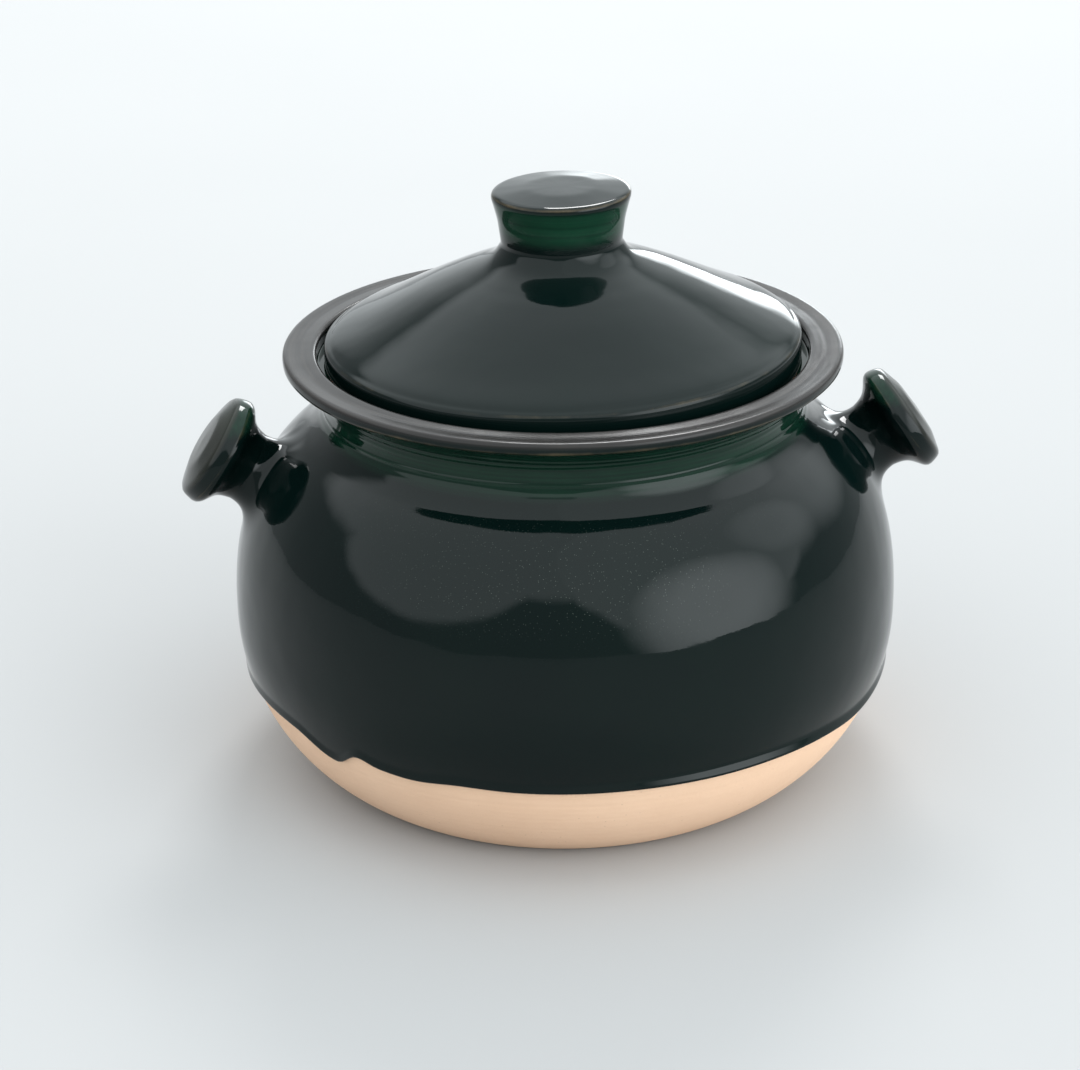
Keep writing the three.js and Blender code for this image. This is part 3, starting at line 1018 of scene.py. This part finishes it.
# Materials
class Shader:
    """Adds nodes to a material and joins them"""

    def __init__(self, name):
        self.material = bpy.data.materials.new(name)
        self.material.use_nodes = True
        self.nodes = self.material.node_tree.nodes
        self.links = self.material.node_tree.links
        self.surface = self.nodes["Principled BSDF"]
        self.place = self.nodes.new("ShaderNodeTexCoord").outputs["Object"]

    def node(self, kind, settings=None, **inputs):
        made = self.nodes.new(kind)
        for key, value in (settings or {}).items():
            setattr(made, key, value)
        for key, value in inputs.items():
            self.put(made.inputs[key.replace("_", " ")], value)
        return made

    def put(self, socket, value):
        if isinstance(value, bpy.types.NodeSocket):
            self.links.new(value, socket)
        else:
            socket.default_value = value

    def set(self, **inputs):
        for key, value in inputs.items():
            self.put(self.surface.inputs[key.replace("_", " ")], value)

    def noise(self, pattern, place=None):
        scale, detail, roughness = pattern
        return self.node("ShaderNodeTexNoise", Vector=place or self.place, Scale=scale, Detail=detail,
                         Roughness=roughness).outputs["Fac"]

    def cells(self, scale):
        """Distance from the middle of the nearest of many small cells"""
        return self.node("ShaderNodeTexVoronoi", Vector=self.place, Scale=scale).outputs["Distance"]

    def math(self, operation, a, b=0.0, clamp=False):
        made = self.node("ShaderNodeMath", {"operation": operation, "use_clamp": clamp})
        self.put(made.inputs[0], a)
        self.put(made.inputs[1], b)
        return made.outputs[0]

    def times(self, a, b):
        return self.math("MULTIPLY", a, b)

    def span(self, value, low, high, to_low=0.0, to_high=1.0):
        made = self.node("ShaderNodeMapRange", {"interpolation_type": "SMOOTHSTEP"})
        for socket, number in zip(made.inputs[:5], (value, low, high, to_low, to_high)):
            self.put(socket, number)
        return made.outputs["Result"]

    def mix(self, share, a, b):
        made = self.node("ShaderNodeMix", {"data_type": "RGBA"})
        self.put(made.inputs["Factor"], share)
        self.put(made.inputs[6], a)
        self.put(made.inputs[7], b)
        return made.outputs[2]

    def ramp(self, value, stops):
        made = self.node("ShaderNodeValToRGB", Fac=value)
        for element, (position, colour) in zip(made.color_ramp.elements, stops):
            element.position = position
            element.color = colour
        return made.outputs["Color"]

    def worn(self):
        return self.node("ShaderNodeAttribute", {"attribute_name": "worn"}).outputs["Fac"]

    def parts(self):
        """Height, and distance from the axis"""
        split = self.node("ShaderNodeSeparateXYZ", Vector=self.place)
        across = self.math("POWER", split.outputs["X"], 2.0)
        along = self.math("POWER", split.outputs["Y"], 2.0)
        return split.outputs["Z"], self.math("SQRT", self.math("ADD", across, along))

    def within(self, value, band):
        """1 between full and fading, 0 outside start and end"""
        start, full, fading, end = band
        return self.times(self.span(value, start, full), self.span(value, end, fading))

    def rings(self, height, radius):
        """Fine rings from throwing, uneven round the piece"""
        across = self.times(radius, RING_FINENESS)
        along = self.times(height, RING_FINENESS)
        slow = self.times(self.noise(RING_DRIFT), RING_DRIFT_SIZE)
        turning = self.node("ShaderNodeCombineXYZ", X=across, Y=slow, Z=along)
        return self.noise(TURNED_LINES, turning.outputs["Vector"])

    def sideways(self):
        """Distance from the middle between the lugs"""
        split = self.node("ShaderNodeSeparateXYZ", Vector=self.place)
        return self.math("ABSOLUTE", split.outputs["X"])

    def lug_faces(self, height):
        """1 on the faces of the two lugs, found by how far they reach along the lug's own direction"""
        tilt = math.radians(LUG_TILT)
        foot, _, _, axis = lug_axis(0.0)
        reach = (float(foot @ axis) + LUG_LENGTH) * MM
        out = self.times(self.sideways(), math.cos(tilt))
        up = self.times(height, math.sin(tilt))
        return self.span(self.math("ADD", out, up), reach - MM, reach + MM / 2)

    def between_lugs(self):
        """1 on the front and back of the pot, fading out before the lugs"""
        return self.span(self.sideways(), *SPECK_REACH)

    def bump(self, layers):
        """Stacks bumps given as height and depth in metres"""
        normal = None
        for height, depth in layers:
            made = self.node("ShaderNodeBump", Height=height, Distance=depth, Strength=1.0)
            if normal is not None:
                self.links.new(normal, made.inputs["Normal"])
            normal = made.outputs["Normal"]
        return normal


def glaze_body(glaze, height, radius, mottle, rings):
    """Nearly black where the glaze is deep, greener where it is thin on the neck and the knob"""
    deep = glaze.mix(glaze.noise(CLOUDS), *DEEP_GREENS)
    green = glaze.mix(mottle, *THIN_GREENS)
    neck = glaze.within(height, NECK_GREEN_BAND)
    knob = glaze.times(glaze.within(height, KNOB_GREEN_BAND), glaze.span(radius, *KNOB_GREEN_REACH))
    thin = glaze.math("ADD", glaze.times(neck, NECK_GREEN), glaze.times(knob, KNOB_GREEN), True)
    thin = glaze.times(thin, glaze.span(rings, *RING_SPREAD, *THIN_AT_RINGS))
    return glaze.mix(thin, deep, green)


def worn_edges(glaze, mottle):
    """How far the glaze breaks to tan over edges"""
    uneven = glaze.times(glaze.math("SUBTRACT", mottle, 0.5), WEAR_BREAK_UP)
    return glaze.span(glaze.math("ADD", glaze.worn(), uneven, True), *WEAR_SPREAD)


def specks(glaze, height):
    """Fine pale specks in patches on the belly"""
    patches = glaze.span(glaze.noise(SPECK_PATCHES), *SPECK_PATCH_SPREAD)
    field = glaze.times(patches, glaze.within(height, SPECK_BAND))
    field = glaze.times(field, glaze.between_lugs())
    return glaze.times(glaze.span(glaze.cells(SPECK_FINENESS), *SPECK_SIZE), field)


def glaze_material():
    """Thick glossy green glaze, black where deep, tan over edges and satin on flat faces, with a painted
    sheen lightening the lug faces
    """
    glaze = Shader("dark_green_glaze")
    height, radius = glaze.parts()
    mottle = glaze.noise(MOTTLE)
    rings = glaze.rings(height, radius)
    colour = glaze_body(glaze, height, radius, mottle, rings)
    colour = glaze.mix(worn_edges(glaze, mottle), colour, glaze.mix(mottle, *WORN_TANS))
    rim_top = glaze.times(glaze.within(height, RIM_TOP_BAND), glaze.span(radius, *RIM_TOP_REACH))
    lug_faces = glaze.lug_faces(height)
    flat = glaze.math("ADD", rim_top, lug_faces, True)
    streaks = glaze.times(glaze.span(rings, *STREAK_SPREAD), rim_top)
    rim_tone = glaze.mix(streaks, *RIM_GREYS)
    # On the lug faces a lighter tone is mixed in as a painted sheen; the rim top keeps its greys
    flat_tone_with_painted_sheen = glaze.mix(lug_faces, rim_tone, glaze.mix(mottle, *LUG_FACE_PAINTED_SHEEN))
    colour = glaze.mix(glaze.times(flat, FLAT_TONE), colour, flat_tone_with_painted_sheen)
    colour = glaze.mix(glaze.times(specks(glaze, height), SPECK_STRENGTH), colour, SPECK_COLOUR)
    gloss = glaze.span(mottle, *GLOSS_SPREAD, *GLOSS)
    satin = glaze.times(flat, glaze.span(streaks, 0.0, 1.0, *SATIN))
    rough = glaze.math("ADD", gloss, satin)
    bumps = [(glaze.noise(WAVES), WAVE_DEPTH), (rings, RING_DEPTH), (glaze.noise(FINE_GRAIN), GRAIN_DEPTH)]
    glaze.set(Base_Color=colour, Roughness=rough, IOR=GLAZE_IOR, Normal=glaze.bump(bumps))
    return glaze.material


def clay_material():
    """Bare fired clay: pale buff, slightly sandy, with faint throwing lines"""
    clay = Shader("bare_buff_clay")
    height, radius = clay.parts()
    cloud = clay.noise(CLAY_CLOUDS)
    sand = clay.noise(SAND)
    grains = clay.span(clay.cells(SAND_GRAIN_FINENESS), *SAND_GRAIN_SIZE)
    grains = clay.times(grains, clay.span(clay.noise(SAND_GRAIN_PATCHES), *SAND_GRAIN_SPREAD))
    across = clay.times(radius, THROWN_LINES_ACROSS)
    along = clay.times(height, THROWN_LINES_UP)
    turning = clay.node("ShaderNodeCombineXYZ", X=across, Z=along)
    lines = clay.noise(TURNED_LINES, turning.outputs["Vector"])
    colour = clay.ramp(cloud, BUFF_STOPS)
    colour = clay.mix(clay.times(grains, SAND_GRAIN_STRENGTH), colour, SAND_GRAIN_COLOUR)
    colour = clay.mix(clay.times(lines, THROWN_LINE_STRENGTH), colour, THROWN_LINE_COLOUR)
    rough = clay.span(sand, *SAND_SPREAD, *CLAY_ROUGHNESS)
    bumps = [(lines, THROWN_LINE_DEPTH), (sand, SAND_DEPTH), (cloud, CLAY_CLOUD_DEPTH)]
    clay.set(Base_Color=colour, Roughness=rough, IOR=CLAY_IOR, Normal=clay.bump(bumps))
    return clay.material


def floor_material():
    floor = Shader("pale_floor")
    tone = floor.mix(floor.noise(GROUND_CLOUDS), *GROUND_GREYS)
    floor.set(Base_Color=tone, Roughness=GROUND_ROUGHNESS, Specular_IOR_Level=0.0)
    return floor.material


# Setting
def make_floor(material):
    mesh = bpy.data.meshes.new("floor")
    angles = np.linspace(0, TURN, GROUND_CORNERS + 1)[:-1]
    rim = [(GROUND_RADIUS * math.cos(a), GROUND_RADIUS * math.sin(a), -GROUND_DROP) for a in angles]
    mesh.from_pydata(rim, [], [tuple(range(GROUND_CORNERS))])
    mesh.materials.append(material)
    floor = bpy.data.objects.new("floor", mesh)
    bpy.context.collection.objects.link(floor)


def soft_light(name, place, size, glow, colour):
    """An area light that faces the pot; its glow is 1 where it would look white"""
    data = bpy.data.lights.new(name, "AREA")
    data.shape = "RECTANGLE"
    data.size, data.size_y = size
    data.energy = glow * math.pi * size[0] * size[1]
    data.color = colour
    light = bpy.data.objects.new(name, data)
    light.location = place
    light.rotation_mode = "QUATERNION"
    light.rotation_quaternion = (Vector(LAMP_AIM) - Vector(place)).to_track_quat("-Z", "Y")
    light.visible_camera = False
    bpy.context.collection.objects.link(light)


def make_world():
    """A soft sky that shows the brightest of its glows in each direction"""
    world = bpy.data.worlds.new("studio")
    bpy.context.scene.world = world
    world.use_nodes = True
    nodes, links = world.node_tree.nodes, world.node_tree.links
    direction = nodes.new("ShaderNodeTexCoord").outputs["Generated"]
    brightest = None
    for side, spread, amount in SKY_GLOWS:
        towards = nodes.new("ShaderNodeVectorMath")
        towards.operation = "DOT_PRODUCT"
        links.new(direction, towards.inputs[0])
        towards.inputs[1].default_value = Vector(side).normalized()
        glow = nodes.new("ShaderNodeMapRange")
        glow.interpolation_type = "SMOOTHSTEP"
        for socket, number in zip(glow.inputs[1:5], (*spread, SKY_LOW, SKY_LOW + amount)):
            socket.default_value = number
        links.new(towards.outputs["Value"], glow.inputs["Value"])
        winner = nodes.new("ShaderNodeMath")
        winner.operation = "MAXIMUM"
        links.new(glow.outputs["Result"], winner.inputs[0])
        if brightest is not None:
            links.new(brightest, winner.inputs[1])
        brightest = winner.outputs[0]
    background = nodes["Background"]
    background.inputs["Color"].default_value = SKY_COLOUR
    links.new(brightest, background.inputs["Strength"])


def make_camera():
    data = bpy.data.cameras.new("camera")
    data.lens = CAMERA_LENS
    data.sensor_width = CAMERA_SENSOR
    camera = bpy.data.objects.new("camera", data)
    place, aim = Vector(CAMERA_PLACE), Vector(CAMERA_AIM)
    camera.location = place
    camera.rotation_mode = "QUATERNION"
    level = (aim - place).to_track_quat("-Z", "Y")
    camera.rotation_quaternion = level @ Quaternion((0, 0, 1), math.radians(CAMERA_ROLL))
    bpy.context.collection.objects.link(camera)
    bpy.context.scene.camera = camera


make_camera()
make_world()
make_floor(floor_material())
for name, place, size, glow, colour in LAMPS:
    soft_light(name, place, size, glow, colour)
bpy.context.scene.view_settings.view_transform = "Standard"

glaze = glaze_material()
clay = clay_material()
clay_pot(clay)
outside_glaze(glaze)
inside_glaze(glaze)
clay_lid(clay)
clay_knob(clay)
lid_top_glaze(glaze)
lid_under_glaze(glaze)
clay_lug("clay_lug_right", "handle_right", 0.0, clay)
clay_lug("clay_lug_left", "handle_left", math.pi, clay)
